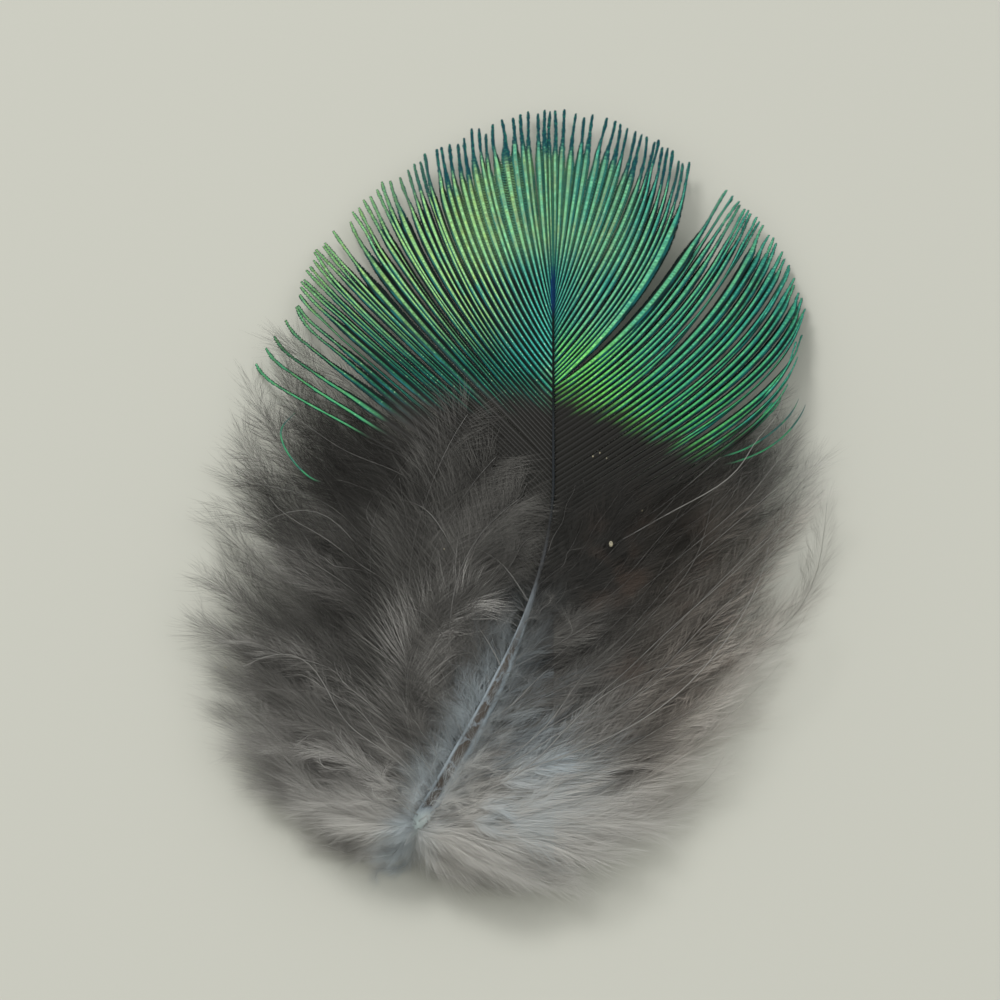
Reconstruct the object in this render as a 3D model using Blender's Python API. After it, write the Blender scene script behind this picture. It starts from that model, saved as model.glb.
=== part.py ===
# A small round-tipped body feather of a peacock, lying on its underside with its glossy side up.
# It grew as one piece, so the shaft, the two vanes of its fan and the locks of its down are one solid.
# Lengths and places below are in millimetres: the quill points to -Y and the fan to +Y.

import math
import random
from collections import namedtuple

import bmesh
import bpy
import numpy as np
from mathutils import Matrix, Vector

MILLIMETRE = 0.001

# The shaft, seen from above: straight under the fan, then leaning to the left down to the quill's end.
QUILL_END = -26.0
STRAIGHT_FROM = 2.5
SHAFT_TOP = 39.6
QUILL_LEAN = 10.3
LEAN_POWER = 1.8
# The shaft, seen from the side: one flat arch.
ARCH_TOP_Y = 3.0
ARCH_HEIGHT = 7.2
ARCH_BEND = 0.0045
# The shaft's half thickness at places along it.
THICKNESS_PLACES = (-26.0, -24.5, -14.0, 0.0, 20.0, 39.6)
SHAFT_RADII = (0.55, 0.75, 0.70, 0.48, 0.32, 0.22)
SHAFT_STATIONS = 26
SHAFT_SIDES = 8
AHEAD_STEP = 0.1

# Both vanes droop away from the shaft. Their outer edge is cut into the free ends of the barbs.
VANE_DROOP = 0.012
VANE_LOWEST = 0.5
VANE_THICKNESS = 0.34
VANE_RIB = 0.09
BARB_GROUPS = 30
BARB_STATIONS = (0.0, 0.07, 0.18, 0.32, 0.48, 0.64, 0.78, 0.90, 1.0)
FREE_FROM = 0.74
TIP_WIDTH = 0.35
ROOT_OFFSET = 0.05

# One barb's line, seen from above: its root's place along the shaft, the direction in which it leaves
# in degrees from +Y towards its own side, how long it holds that as a share of its reach, where its tip
# is, and the direction and hold with which it arrives there.
Line = namedtuple("Line", "root leave hold tip_x tip_y arrive tip_hold")

LEFT_VANE = (
    Line(-7.5, 37, 0.30, -20.2, 13.4, 50, 0.32),
    Line(-6.0, 36, 0.30, -22.2, 17.2, 42, 0.35),
    Line(-3.2, 36, 0.30, -21.3, 20.4, 35, 0.35),
    Line(-1.0, 37, 0.30, -19.8, 23.6, 31, 0.35),
    Line(2.0, 37, 0.32, -17.4, 28.2, 23, 0.33),
    Line(6.0, 38, 0.34, -13.6, 32.8, 14, 0.32),
    Line(9.5, 38, 0.34, -9.8, 35.8, 7, 0.32),
    Line(12.8, 33, 0.30, -7.2, 37.4, 4, 0.30),
    Line(15.5, 25, 0.28, -5.0, 38.4, 2, 0.30),
    Line(18.0, 16, 0.25, -2.9, 39.2, 1, 0.30),
    Line(20.5, 5, 0.25, -0.6, 39.6, 1, 0.30),
)
RIGHT_VANE = (
    Line(-6.5, 51, 0.35, 15.4, 10.2, 28, 0.30),
    Line(-4.5, 52, 0.36, 17.2, 14.0, 20, 0.30),
    Line(-2.0, 53, 0.37, 18.5, 19.5, 10, 0.30),
    Line(0.0, 53, 0.38, 18.5, 23.4, 12, 0.32),
    Line(3.6, 53, 0.38, 16.9, 28.0, 15, 0.35),
    Line(7.5, 52, 0.38, 14.6, 31.4, 16, 0.38),
    Line(10.2, 48, 0.36, 12.9, 32.8, 16, 0.40),
    Line(11.2, 45, 0.35, 12.6, 33.4, 12, 0.38),
    Line(11.3, 43, 0.34, 10.9, 35.2, 9, 0.40),
    Line(13.0, 38, 0.32, 9.0, 36.2, 8, 0.37),
    Line(16.0, 25, 0.29, 6.9, 37.3, 7, 0.36),
    Line(18.5, 18, 0.28, 4.2, 38.8, 8, 0.33),
    Line(20.5, 8, 0.30, 0.6, 39.6, 2, 0.30),
)
# Where each vane is split: the place along the shaft, and how far out along the barbs the split starts.
LEFT_SPLITS = ((-6.0, 0.42), (-4.6, 0.48), (-3.2, 0.48), (3.0, 0.46))
RIGHT_SPLITS = ((11.3, 0.30), (17.2, 0.60))

# The down, from the quill's end up to the fan.
LEFT_DOWN = (
    Line(-25.4, 178, 0.35, -12.5, -28.8, 160, 0.30),
    Line(-24.8, 130, 0.35, -18.8, -25.2, 95, 0.30),
    Line(-23.0, 92, 0.35, -24.0, -19.4, 62, 0.30),
    Line(-19.0, 72, 0.38, -27.5, -11.5, 46, 0.32),
    Line(-14.0, 62, 0.40, -28.0, -3.0, 34, 0.34),
    Line(-8.0, 56, 0.40, -26.5, 5.0, 26, 0.34),
    Line(-1.0, 52, 0.38, -23.0, 13.5, 22, 0.34),
)
RIGHT_DOWN = (
    Line(-25.4, 170, 0.35, -3.5, -31.0, 140, 0.30),
    Line(-24.8, 125, 0.35, 5.0, -29.6, 100, 0.30),
    Line(-23.0, 96, 0.35, 12.0, -20.5, 70, 0.30),
    Line(-19.0, 74, 0.38, 17.0, -11.0, 50, 0.32),
    Line(-14.0, 62, 0.40, 19.5, -2.0, 36, 0.34),
    Line(-8.0, 56, 0.40, 20.5, 7.0, 26, 0.34),
    Line(-1.0, 54, 0.38, 19.0, 15.0, 18, 0.34),
)
# The crest: three plumes from the left of the quill that sweep up and lie over the fan's foot.
CREST = (
    Line(-22.5, 84, 0.30, -8.5, 7.0, -12, 0.45),
    Line(-20.5, 74, 0.30, -5.2, 9.0, -22, 0.45),
    Line(-17.0, 66, 0.30, -2.6, 5.5, -28, 0.40),
)
CREST_ARCH = 1.9
CREST_TIP_Z = 7.6
LOCKS_EACH_SIDE = 23
LOCK_STATIONS = 7
LOCK_SIDES = 6
LOCK_HALF_WIDTH = 1.75
LOCK_HALF_THICKNESS = 0.6
# A lock's width as a share of its widest, at its root, and how full it is between its ends.
LOCK_ROOT_SHARE = 0.22
LOCK_ROOT_PHASE = 0.15
LOCK_FULLNESS = 0.8
# The locks lie in three layers: how far each sinks or rises halfway out, and how high its tip lies.
LAYER_ARCH = (-2.3, 0.4, 2.2)
LAYER_TIP_Z = (0.15, 1.6, 3.2)
LOCK_LOWEST = 0.1
# How much the locks differ from one another.
LENGTH_SHARES = (0.84, 1.0)
LEAVE_TURN = 6.0
ARRIVE_TURN = 24.0
LOCK_TWIST = 16.0
LOCK_WAVE = 0.7
SEED = 11

# The block that takes off whatever would reach below the surface that the feather lies on.
FLOOR_BLOCK = (200, 200, 20)

FEATHER_COLOUR = (0.045, 0.16, 0.07, 1.0)
FEATHER_ROUGHNESS = 0.45


def shaft_x(y):
    lean = max(0.0, (STRAIGHT_FROM - y) / (STRAIGHT_FROM - QUILL_END))
    return -QUILL_LEAN * lean**LEAN_POWER


def shaft_z(y):
    return ARCH_HEIGHT - ARCH_BEND * (y - ARCH_TOP_Y) ** 2


def shaft_point(y):
    return Vector((shaft_x(y), y, shaft_z(y)))


def vane_z(x, y):
    return max(VANE_LOWEST, shaft_z(y) - VANE_DROOP * x * x)


def line_between(lines, places, at):
    """The line that stands at one place between those that are given, each at a place of its own."""
    return Line(*(float(np.interp(at, places, column)) for column in zip(*lines)))


def heading(side, degrees):
    angle = math.radians(degrees)
    return Vector((side * math.sin(angle), math.cos(angle)))


def points_along(line, side, shares):
    """Points along a barb, seen from above: a cubic curve from the shaft to the tip."""
    start = Vector((shaft_x(line.root), line.root))
    tip = Vector((line.tip_x, line.tip_y))
    reach = (tip - start).length
    first = start + heading(side, line.leave) * line.hold * reach
    second = tip - heading(side, line.arrive) * line.tip_hold * reach
    return [
        (1 - t) ** 3 * start + 3 * (1 - t) ** 2 * t * first + 3 * (1 - t) * t**2 * second + t**3 * tip
        for t in shares
    ]


def object_from(name, shape):
    mesh = bpy.data.meshes.new(name)
    shape.to_mesh(mesh)
    shape.free()
    thing = bpy.data.objects.new(name, mesh)
    bpy.context.scene.collection.objects.link(thing)
    return thing


def ellipse(centre, across, up, half_width, half_height, sides):
    turns = [2 * math.pi * (i + 0.5) / sides for i in range(sides)]
    return [centre + across * half_width * math.cos(a) + up * half_height * math.sin(a) for a in turns]


def loft(name, rings):
    """A closed solid through rings of points with its ends filled. A last ring of one point is a tip."""
    shape = bmesh.new()
    made = [[shape.verts.new(point) for point in ring] for ring in rings]
    for ring, after in zip(made, made[1:]):
        for i in range(len(ring)):
            j = (i + 1) % len(ring)
            if len(after) == 1:
                shape.faces.new((ring[i], ring[j], after[0]))
            else:
                shape.faces.new((ring[i], ring[j], after[j], after[i]))
    shape.faces.new(made[0])
    if len(made[-1]) > 1:
        shape.faces.new(made[-1])
    bmesh.ops.recalc_face_normals(shape, faces=shape.faces)
    return object_from(name, shape)


def make_shaft():
    rings = []
    for i in range(SHAFT_STATIONS):
        y = QUILL_END + (SHAFT_TOP - QUILL_END) * i / (SHAFT_STATIONS - 1)
        centre = shaft_point(y)
        ahead = shaft_point(y + AHEAD_STEP) - centre
        across = ahead.cross(Vector((0, 0, 1))).normalized()
        up = across.cross(ahead).normalized()
        radius = float(np.interp(y, THICKNESS_PLACES, SHAFT_RADII))
        rings.append(ellipse(centre, across, up, radius, radius, SHAFT_SIDES))
    return loft("feather", rings)


def make_vane(name, lines, side, splits):
    """A thin arched sheet of barb groups, which hold together near the shaft and end in free tips."""
    places = [line.root for line in lines]
    roots = np.linspace(places[0], places[-1], BARB_GROUPS)
    centres = [points_along(line_between(lines, places, root), side, BARB_STATIONS) for root in roots]
    stations = range(len(BARB_STATIONS))

    # The lines between neighbouring groups, with one outside the lowest group and one along the shaft.
    below_first = [1.5 * centres[0][j] - 0.5 * centres[1][j] for j in stations]
    between = [[(a[j] + b[j]) / 2 for j in stations] for a, b in zip(centres, centres[1:])]
    along_shaft = [Vector((0.0, centres[-1][j].y)) for j in stations]
    edges = [below_first, *between, along_shaft]

    free_from = [FREE_FROM] * len(edges)
    for place, share in splits:
        free_from[int(np.searchsorted(roots, place))] = share

    shape = bmesh.new()
    corners = {}

    def corner(edge, j, group):
        """The corner at one edge and station. Two groups share it as far out as they hold together."""
        inner = 0 < edge < BARB_GROUPS
        loose = BARB_STATIONS[j] - free_from[edge]
        key = (edge, j, group if inner and loose > 0 else None)
        if key not in corners:
            place = edges[edge][j]
            if loose > 0 and edge < BARB_GROUPS:
                centre = centres[group][j]
                nearest = min((edges[e][j] - centre).length for e in (group, group + 1))
                taper = 1 - (1 - TIP_WIDTH) * min(1.0, loose / (1 - FREE_FROM))
                place = centre + (place - centre).normalized() * nearest * taper
            middle = shaft_x(place.y)
            x = middle + side * max(ROOT_OFFSET, side * (place.x - middle))
            rib = VANE_RIB if edge % 2 else -VANE_RIB
            corners[key] = shape.verts.new((x, place.y, vane_z(x, place.y) + VANE_THICKNESS / 2 + rib))
        return corners[key]

    for group in range(BARB_GROUPS):
        for j in stations[:-1]:
            ring = ((group, j), (group, j + 1), (group + 1, j + 1), (group + 1, j))
            shape.faces.new([corner(edge, station, group) for edge, station in ring])

    under = bmesh.ops.extrude_face_region(shape, geom=shape.faces[:])
    lowered = [v for v in under["geom"] if isinstance(v, bmesh.types.BMVert)]
    bmesh.ops.translate(shape, verts=lowered, vec=(0, 0, -VANE_THICKNESS))
    bmesh.ops.recalc_face_normals(shape, faces=shape.faces)
    return object_from(name, shape)


def make_lock(name, line, side, arch, tip_z, twist, wave):
    """One lock of down: a flattened, curved spindle with a pointed outer end."""
    shares = [i / (LOCK_STATIONS - 1) for i in range(LOCK_STATIONS)]
    path = points_along(line, side, shares)
    straight = (path[-1] - path[0]).normalized()
    sideways = Vector((straight.y, -straight.x))
    for t, point in zip(shares, path):
        point += sideways * wave * math.sin(2 * math.pi * t)

    rings = []
    for i, t in enumerate(shares):
        height = shaft_z(line.root) * (1 - t) + tip_z * t + arch * math.sin(math.pi * t)
        centre = Vector((path[i].x, path[i].y, max(LOCK_LOWEST, height)))
        step = path[min(i + 1, len(path) - 1)] - path[max(i - 1, 0)]
        ahead = Vector((step.x, step.y, 0)).normalized()
        across = Matrix.Rotation(math.radians(twist) * t, 3, ahead) @ Vector((ahead.y, -ahead.x, 0))
        up = across.cross(ahead)
        fullness = math.sin(math.pi * (LOCK_ROOT_PHASE + (1 - LOCK_ROOT_PHASE) * t)) ** LOCK_FULLNESS
        swell = LOCK_ROOT_SHARE + (1 - LOCK_ROOT_SHARE) * fullness
        rings.append(
            ellipse(centre, across, up, LOCK_HALF_WIDTH * swell, LOCK_HALF_THICKNESS * swell, LOCK_SIDES)
            if t < 1
            else [centre]
        )
    return loft(name, rings)


def make_down():
    rng = random.Random(SEED)
    layers = list(zip(LAYER_ARCH, LAYER_TIP_Z))
    locks = []
    for word, side, lines in (("left", -1, LEFT_DOWN), ("right", 1, RIGHT_DOWN)):
        for i in range(LOCKS_EACH_SIDE):
            at = (len(lines) - 1) * i / (LOCKS_EACH_SIDE - 1)
            line = line_between(lines, range(len(lines)), at)
            share = rng.uniform(*LENGTH_SHARES)
            start_x = shaft_x(line.root)
            line = line._replace(
                tip_x=start_x + (line.tip_x - start_x) * share,
                tip_y=line.root + (line.tip_y - line.root) * share,
                leave=line.leave + rng.uniform(-LEAVE_TURN, LEAVE_TURN),
                arrive=line.arrive + rng.uniform(-ARRIVE_TURN, ARRIVE_TURN),
            )
            twist = rng.uniform(-LOCK_TWIST, LOCK_TWIST)
            wave = rng.uniform(-LOCK_WAVE, LOCK_WAVE)
            arch, tip_z = layers[i % len(layers)]
            locks.append(make_lock(f"{word}_lock_{i}", line, side, arch, tip_z, twist, wave))
    for i, line in enumerate(CREST):
        locks.append(make_lock(f"crest_lock_{i}", line, -1, CREST_ARCH, CREST_TIP_Z, 0.0, 0.0))
    return locks


def make_floor_block():
    below = Matrix.Translation((0, 0, -FLOOR_BLOCK[2] / 2))
    shape = bmesh.new()
    bmesh.ops.create_cube(shape, size=1.0, matrix=below @ Matrix.Diagonal((*FLOOR_BLOCK, 1)))
    return object_from("floor_block", shape)


def feather_material():
    material = bpy.data.materials.new("feather")
    material.use_nodes = True
    shader = material.node_tree.nodes["Principled BSDF"]
    shader.inputs["Base Color"].default_value = FEATHER_COLOUR
    shader.inputs["Roughness"].default_value = FEATHER_ROUGHNESS
    shader.inputs["Metallic"].default_value = 0.0
    return material


def combine(thing, other, operation):
    join = thing.modifiers.new(other.name, "BOOLEAN")
    join.operation = operation
    join.solver = "MANIFOLD"
    join.object = other
    other.hide_render = True
    other.display_type = "WIRE"


def main():
    for thing in list(bpy.data.objects):
        bpy.data.objects.remove(thing)

    feather = make_shaft()
    left = make_vane("left_vane", LEFT_VANE, -1, LEFT_SPLITS)
    right = make_vane("right_vane", RIGHT_VANE, 1, RIGHT_SPLITS)
    grown = [left, right, *make_down()]
    floor_block = make_floor_block()
    for piece in grown:
        combine(feather, piece, "UNION")
    combine(feather, floor_block, "DIFFERENCE")
    feather.data.materials.append(feather_material())

    # The origin is under the middle of the whole feather, on the surface that it lies on.
    corners = [vertex.co for thing in (feather, *grown) for vertex in thing.data.vertices]
    middle = [(min(c[axis] for c in corners) + max(c[axis] for c in corners)) / 2 for axis in (0, 1)]
    to_origin = Matrix.Translation((-middle[0], -middle[1], 0))
    for thing in (feather, *grown, floor_block):
        thing.data.transform(Matrix.Diagonal((MILLIMETRE, MILLIMETRE, MILLIMETRE, 1)) @ to_origin)


main()
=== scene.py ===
import math

import bpy
import numpy as np
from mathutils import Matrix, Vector


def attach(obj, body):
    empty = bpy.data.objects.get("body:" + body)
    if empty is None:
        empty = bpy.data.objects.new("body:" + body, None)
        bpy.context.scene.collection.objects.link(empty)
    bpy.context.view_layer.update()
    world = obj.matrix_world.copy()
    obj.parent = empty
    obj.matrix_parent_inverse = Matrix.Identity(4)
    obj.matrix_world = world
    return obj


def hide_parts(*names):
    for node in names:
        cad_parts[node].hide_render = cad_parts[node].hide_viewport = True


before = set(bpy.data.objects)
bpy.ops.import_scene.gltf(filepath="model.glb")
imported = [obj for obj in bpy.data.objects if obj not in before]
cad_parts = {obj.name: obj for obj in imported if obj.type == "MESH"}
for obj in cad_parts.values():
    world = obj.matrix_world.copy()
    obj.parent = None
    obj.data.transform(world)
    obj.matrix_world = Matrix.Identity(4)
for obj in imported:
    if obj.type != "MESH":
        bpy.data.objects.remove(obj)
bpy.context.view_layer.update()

mm = 0.001
frameShift = (-3.71949, 4.22061)  # where the part's origin is in the plan below, which is in mm
bodyName = "root"
bakeMap = "OFBake"
mapLow, mapHigh = 0.02, 0.98  # the stretch of the map that a barb takes, root to tip
mapSpan = mapHigh - mapLow
mapEdge = 0.001
stripHalf = 0.45  # half of a barb's width on the map, in strips
otherSide = 70  # keeps the random numbers of left and right barbs apart
longestBarb = 45.0

# the feather's form, the same as its solid's: quill to -Y, fan to +Y, the fan's shaft along x = 0
form = {
    "quillEnd": -26.0,
    "straightFrom": 2.5,
    "quillLean": 10.3,
    "leanPower": 1.8,
    "archTopY": 3.0,
    "archHeight": 7.2,
    "archBend": 0.0045,
    "vaneDroop": 0.012,
    "vaneLowest": 0.5,
}

# One row a barb: number in the vane, root along the shaft, angle it leaves at, hold, tip x, tip y,
# angle it arrives at, hold, and how much of its end is free
leftVaneLines = np.array((
    (0, -5.6, 33, 0.36, -22.2, 17.6, 36, 0.36, 12),
    (2, -4.4, 34, 0.35, -20.9, 20.2, 33, 0.36, 11),
    (4, -3.3, 35, 0.33, -19.3, 22.2, 31, 0.36, 9),
    (8, -1, 37, 0.3, -18.8, 24.6, 30, 0.35, 6),
    (15, 2, 37, 0.32, -17.4, 28.2, 23, 0.33, 5),
    (18, 3.5, 39, 0.34, -16.3, 29.6, 22, 0.33, 6),
    (19, 4, 36, 0.32, -15.1, 30.8, 17, 0.33, 6),
    (23, 6, 38, 0.34, -13.6, 32.8, 14, 0.32, 5),
    (30, 9.5, 38, 0.34, -9.8, 36, 7, 0.32, 5),
    (35, 12.8, 33, 0.3, -7.2, 37.8, 4, 0.3, 4.8),
    (39, 15.5, 25, 0.28, -5, 38.9, 2, 0.3, 4.6),
    (43, 18, 14, 0.25, -2.4, 40.4, 1, 0.3, 4.4),
    (47, 20.5, 1, 0.25, -0.1, 40.9, 0, 0.3, 4.4),
))
rightVaneLines = np.array((
    (0, -5.5, 52, 0.36, 16.2, 12, 24, 0.3, 3),
    (2, -4.5, 52, 0.36, 17.2, 14, 20, 0.3, 2.4),
    (6, -2, 53, 0.37, 18.5, 19.5, 10, 0.3, 1.8),
    (10, 0, 53, 0.38, 18.5, 23.4, 12, 0.32, 1.8),
    (17, 3.6, 53, 0.38, 16.9, 28, 15, 0.35, 2.4),
    (24, 7.5, 52, 0.38, 14.8, 31.2, 17, 0.38, 4.2),
    (29, 10, 51, 0.35, 13.5, 32.4, 22, 0.34, 6.5),
    (31, 11, 51, 0.34, 13, 33, 22, 0.33, 8.5),
    (32, 11.4, 42, 0.32, 10.1, 35.5, 3, 0.35, 8),
    (36, 13, 37, 0.32, 8.6, 36.9, 5, 0.38, 5.5),
    (41, 16, 25, 0.29, 6.6, 38.4, 7, 0.36, 5),
    (46, 18.5, 18, 0.28, 4, 40, 7, 0.33, 4.6),
    (51, 20.5, 2, 0.3, 0.1, 40.9, 1, 0.3, 4.4),
))
# The down has the same kind of rows, without a number or a free end
leftDownLines = np.array((
    (-25.6, 176, 0.35, -12.5, -28.5, 160, 0.3),
    (-25.4, 130, 0.35, -18.2, -25, 95, 0.3),
    (-25, 86, 0.35, -23, -19, 66, 0.3),
    (-24, 58, 0.36, -26.2, -11.5, 60, 0.34),
    (-22, 42, 0.38, -26.4, -3, 54, 0.34),
    (-17, 38, 0.38, -25.2, 5, 48, 0.34),
    (-9, 38, 0.38, -23.4, 14.5, 38, 0.34),
    (-2.5, 44, 0.38, -20, 19, 28, 0.34),
))
rightDownLines = np.array((
    (-25.6, 170, 0.35, -3.5, -30.5, 140, 0.3),
    (-25.4, 125, 0.35, 5, -29.5, 100, 0.3),
    (-25, 96, 0.32, 12, -20.5, 60, 0.36),
    (-24, 90, 0.3, 17, -11, 42, 0.42),
    (-22.5, 86, 0.3, 20, -1, 34, 0.44),
    (-18, 76, 0.3, 21, 7.5, 30, 0.42),
    (-9, 58, 0.34, 19.2, 14, 22, 0.36),
    (-2.5, 54, 0.38, 15.5, 10, 28, 0.34),
))
# the fluff on the left that sweeps up over the fan's foot, and what covers the fan's lower edges
crestLines = np.array((
    (-21.5, 34, 0.42, -11.8, 6, 4, 0.35),
    (-22.2, 38, 0.42, -9, 8.4, -8, 0.35),
    (-22.5, 42, 0.42, -6.4, 8.8, -14, 0.35),
    (-20.5, 46, 0.38, -4.4, 6.6, -28, 0.38),
    (-17.5, 50, 0.34, -2.6, 3.4, -40, 0.4),
    (-13, 52, 0.3, -1, -1.6, -50, 0.4),
))
leftFootLines = np.array((
    (-12, 46, 0.36, -19.5, 3, 56, 0.36),
    (-9, 48, 0.36, -19.5, 7.5, 50, 0.35),
    (-6, 46, 0.36, -18, 11, 44, 0.35),
    (-3.5, 44, 0.36, -12, 9.2, 36, 0.35),
))
rightFootLines = np.array((
    (-18, 66, 0.32, 16.5, 7, 28, 0.36),
    (-14, 58, 0.35, 13, 5, 32, 0.35),
    (-10, 48, 0.35, 9, 3.6, 26, 0.35),
    (-7.5, 36, 0.35, 5, 3, 8, 0.35),
    (-5, 22, 0.35, 1.6, 2.8, -6, 0.35),
))
# single plumes that show on top of the rest
crestPlumeLines = np.array((
    (-22.8, 18, 0.42, -6.2, 8.6, -24, 0.36),
    (-24, 22, 0.38, -5.6, -7.6, -76, 0.4),
    (-22, 24, 0.42, -11.4, 4, 6, 0.36),
    (-21, 30, 0.4, -4.2, 4.6, -34, 0.36),
    (-18, 34, 0.38, -2.6, 0.6, -44, 0.36),
))
leftPlumeLines = np.array((
    (-25, 84, 0.36, -20.5, -22, 80, 0.34),
    (-24.4, 60, 0.38, -23, -15, 72, 0.34),
    (-22.5, 40, 0.4, -24.6, -8, 66, 0.36),
    (-24.2, 30, 0.36, -22.5, -3.5, 64, 0.36),
    (-20, 24, 0.42, -23.4, 2.5, 78, 0.4),
    (-18, 28, 0.42, -24, 7, 58, 0.38),
    (-14, 28, 0.45, -16.8, 2.4, 104, 0.34),
    (-8, 36, 0.4, -20.5, 12.5, 42, 0.36),
))
rightPlumeLines = np.array((
    (-25.3, 112, 0.34, 9, -19.5, 72, 0.36),
    (-24.5, 96, 0.34, 15.5, -9, 46, 0.42),
    (-22.2, 84, 0.33, 16.6, -2, 42, 0.42),
    (-23.4, 90, 0.33, 18.2, 1.4, 39, 0.44),
    (-20, 80, 0.32, 20.4, 5, 50, 0.38),
    (-14, 66, 0.36, 18.5, 9.5, 36, 0.38),
    (-10, 58, 0.36, 13.5, 5, 40, 0.4),
    (-6, 52, 0.38, 17, 13.5, 26, 0.36),
))
paleTuftLines = np.array((
    (-25.4, 112, 0.36, -0.8, -25.8, 84, 0.4),
    (-24.8, 108, 0.36, -0.4, -24.4, 78, 0.4),
    (-23.6, 98, 0.36, 1.8, -20, 64, 0.4),
    (-22.8, 94, 0.36, 2.4, -18.4, 58, 0.4),
))
# the pale fluff that hugs the quill
leftFluffLines = np.array((
    (-25.6, 60, 0.35, -13.4, -22.8, 34, 0.35),
    (-20, 56, 0.35, -11, -14.8, 24, 0.35),
    (-13, 52, 0.35, -7.6, -7.4, 16, 0.35),
    (-6, 44, 0.35, -3.6, -1.2, 8, 0.35),
))
rightFluffLines = np.array((
    (-25.6, 110, 0.35, -4.6, -25.4, 70, 0.35),
    (-20, 84, 0.35, -1.2, -17, 56, 0.35),
    (-13, 66, 0.35, 2, -9, 44, 0.35),
    (-6, 50, 0.35, 2.6, -2.2, 30, 0.35),
))


def shaftX(y):
    lean = np.maximum(0.0, (form["straightFrom"] - y) / (form["straightFrom"] - form["quillEnd"]))
    return -form["quillLean"] * lean ** form["leanPower"]


def shaftZ(y):
    return form["archHeight"] - form["archBend"] * (y - form["archTopY"]) ** 2


def vaneZ(x, y):
    return np.maximum(form["vaneLowest"], shaftZ(y) - form["vaneDroop"] * x * x)


def linesBetween(lines, places, at):
    # the barbs that stand at these places between the given ones
    return np.stack([np.interp(at, places, column) for column in lines.T], axis=1)


def heading(side, degrees):
    angle = np.radians(degrees)
    return np.stack((side * np.sin(angle), np.cos(angle)), axis=-1)


def pathsFrom(lines, side, shares):
    # points along each barb seen from above, and which way it runs there
    start = np.stack((shaftX(lines[:, 0]), lines[:, 0]), axis=1)
    tip = lines[:, 3:5]
    reach = np.linalg.norm(tip - start, axis=1)[:, None]
    first = start + heading(side, lines[:, 1]) * lines[:, 2:3] * reach
    second = tip - heading(side, lines[:, 5]) * lines[:, 6:7] * reach
    a, b, c, d = (p[:, None, :] for p in (start, first, second, tip))
    t = shares[..., None]  # one row of shares for all barbs, or a row for each
    points = (1 - t) ** 3 * a + 3 * (1 - t) ** 2 * t * b + 3 * (1 - t) * t**2 * c + t**3 * d
    runs = 3 * (1 - t) ** 2 * (b - a) + 6 * (1 - t) * t * (c - b) + 3 * t**2 * (d - c)
    return points, runs / np.linalg.norm(runs, axis=2, keepdims=True)


def squareTo(runs):
    # the way to the right of each run, seen from above
    return np.stack((runs[..., 1], -runs[..., 0]), axis=-1)


def unit(v):
    return v / np.maximum(1e-9, np.linalg.norm(v, axis=-1, keepdims=True))


def softStep(values, low, high):
    t = np.clip((values - low) / (high - low), 0, 1)
    return t * t * (3 - 2 * t)


def knotted(rng, count, along, gap, size):
    # a random number for each barb that changes smoothly along it, with a knot every gap mm
    knots = int(longestBarb / gap) + 3
    values = rng.normal(0, size, (count, knots))
    at = np.clip(along / gap, 0, knots - 1.001)
    low = at.astype(int)
    part = softStep(at - low, 0, 1)
    rows = np.arange(count)[:, None]
    return values[rows, low] * (1 - part) + values[rows, low + 1] * part


def gridFaces(count, rows, columns):
    # triangles of many equal grids of points, each rows by columns
    cell = (np.arange(rows - 1)[:, None] * columns + np.arange(columns - 1)[None, :]).ravel()
    one = np.concatenate((
        np.stack((cell, cell + 1, cell + columns + 1), axis=1),
        np.stack((cell, cell + columns + 1, cell + columns), axis=1),
    ))
    return (one[None] + (np.arange(count) * rows * columns)[:, None, None]).reshape(-1, 3)


def tubesAlong(lines, radii, sides, start=0.0, flat=1.0):
    # rings of points along one line or several; flat is a ring's height over its width
    ahead = unit(np.gradient(lines, axis=-2))
    sideways = unit(np.cross(ahead, (0, 0, 1)))
    up = np.cross(sideways, ahead)
    turn = np.linspace(0, 2 * math.pi, sides + 1)[:, None] + start
    ring = sideways[..., None, :] * np.cos(turn) + up[..., None, :] * flat * np.sin(turn)
    return lines[..., None, :] + ring * radii[..., None, None]


def mapSpots(u, v, shape):
    return np.stack((np.broadcast_to(u, shape), np.broadcast_to(v, shape)), axis=-1)


def newObject(name, data):
    made = bpy.data.objects.new(name, data)
    bpy.context.scene.collection.objects.link(made)
    return made


def makePiece(name, parts, material):
    # parts are (points in mm, triangles, places on the map); they become one mesh
    points, faces, places, first = [], [], [], 0
    for some, triangles, spots in parts:
        points.append(some.reshape(-1, 3))
        faces.append(triangles + first)
        places.append(spots.reshape(-1, 2))
        first += len(points[-1])
    points, faces, places = np.concatenate(points), np.concatenate(faces), np.concatenate(places)
    points = (points - (*frameShift, 0.0)) * mm
    mesh = bpy.data.meshes.new(name)
    mesh.vertices.add(len(points))
    mesh.vertices.foreach_set("co", points.astype(np.float32).ravel())
    mesh.loops.add(faces.size)
    mesh.loops.foreach_set("vertex_index", faces.astype(np.int32).ravel())
    mesh.polygons.add(len(faces))
    mesh.polygons.foreach_set("loop_start", np.arange(0, faces.size, 3, dtype=np.int32))
    mesh.polygons.foreach_set("use_smooth", np.full(len(faces), True))
    mesh.update(calc_edges=True)
    layer = mesh.uv_layers.new(name=bakeMap)
    layer.uv.foreach_set("vector", places[faces.ravel()].astype(np.float32).ravel())
    mesh.materials.append(material)
    piece = newObject(name, mesh)
    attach(piece, bodyName)
    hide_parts("feather")
    print(f"{name}: {len(faces)} triangles")


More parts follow.
